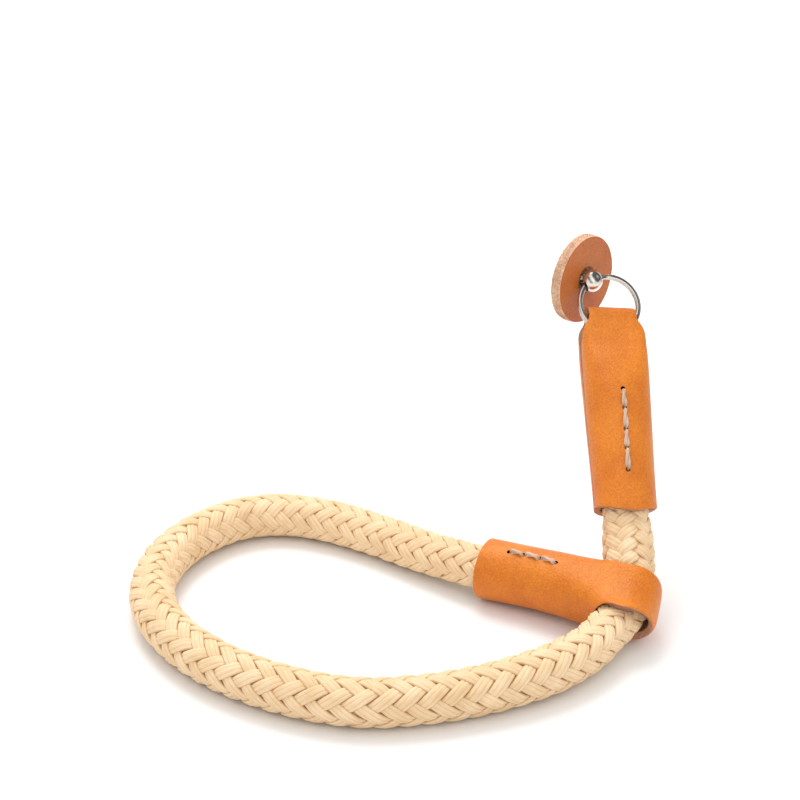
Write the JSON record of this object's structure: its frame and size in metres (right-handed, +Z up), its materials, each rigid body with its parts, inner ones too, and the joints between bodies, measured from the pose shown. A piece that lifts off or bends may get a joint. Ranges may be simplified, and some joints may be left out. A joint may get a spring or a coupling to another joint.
{
  "type": "camera wrist strap",
  "caption": "Braided rope wrist strap with a leather slip keeper, a folded leather tab, a split ring and a leather disc round the eye that it hangs from.",
  "frame": {"origin": "centre of the eye's hole, where the split ring hangs; the rope's loop lies flat about 70 mm below it", "axes": "+X is the disc's outward normal, so the disc's back faces -X; +Z is up; the tab hangs down towards +X and -Y"},
  "size_m": [0.1273, 0.1449, 0.0819],
  "materials": {
    "tan_leather": "smooth vegetable-tanned leather with a soft sheen and bare cut edges",
    "nickelled_steel": "polished nickel plate",
    "cotton_rope": "matt straw-coloured cotton braid"
  },
  "bodies": {
    "root": {"leather_disc": "tan_leather", "hanging_eye": "nickelled_steel", "split_ring": "nickelled_steel", "folded_tab": "tan_leather", "braided_rope": "cotton_rope", "slip_keeper": "tan_leather"}
  },
  "joints": []
}
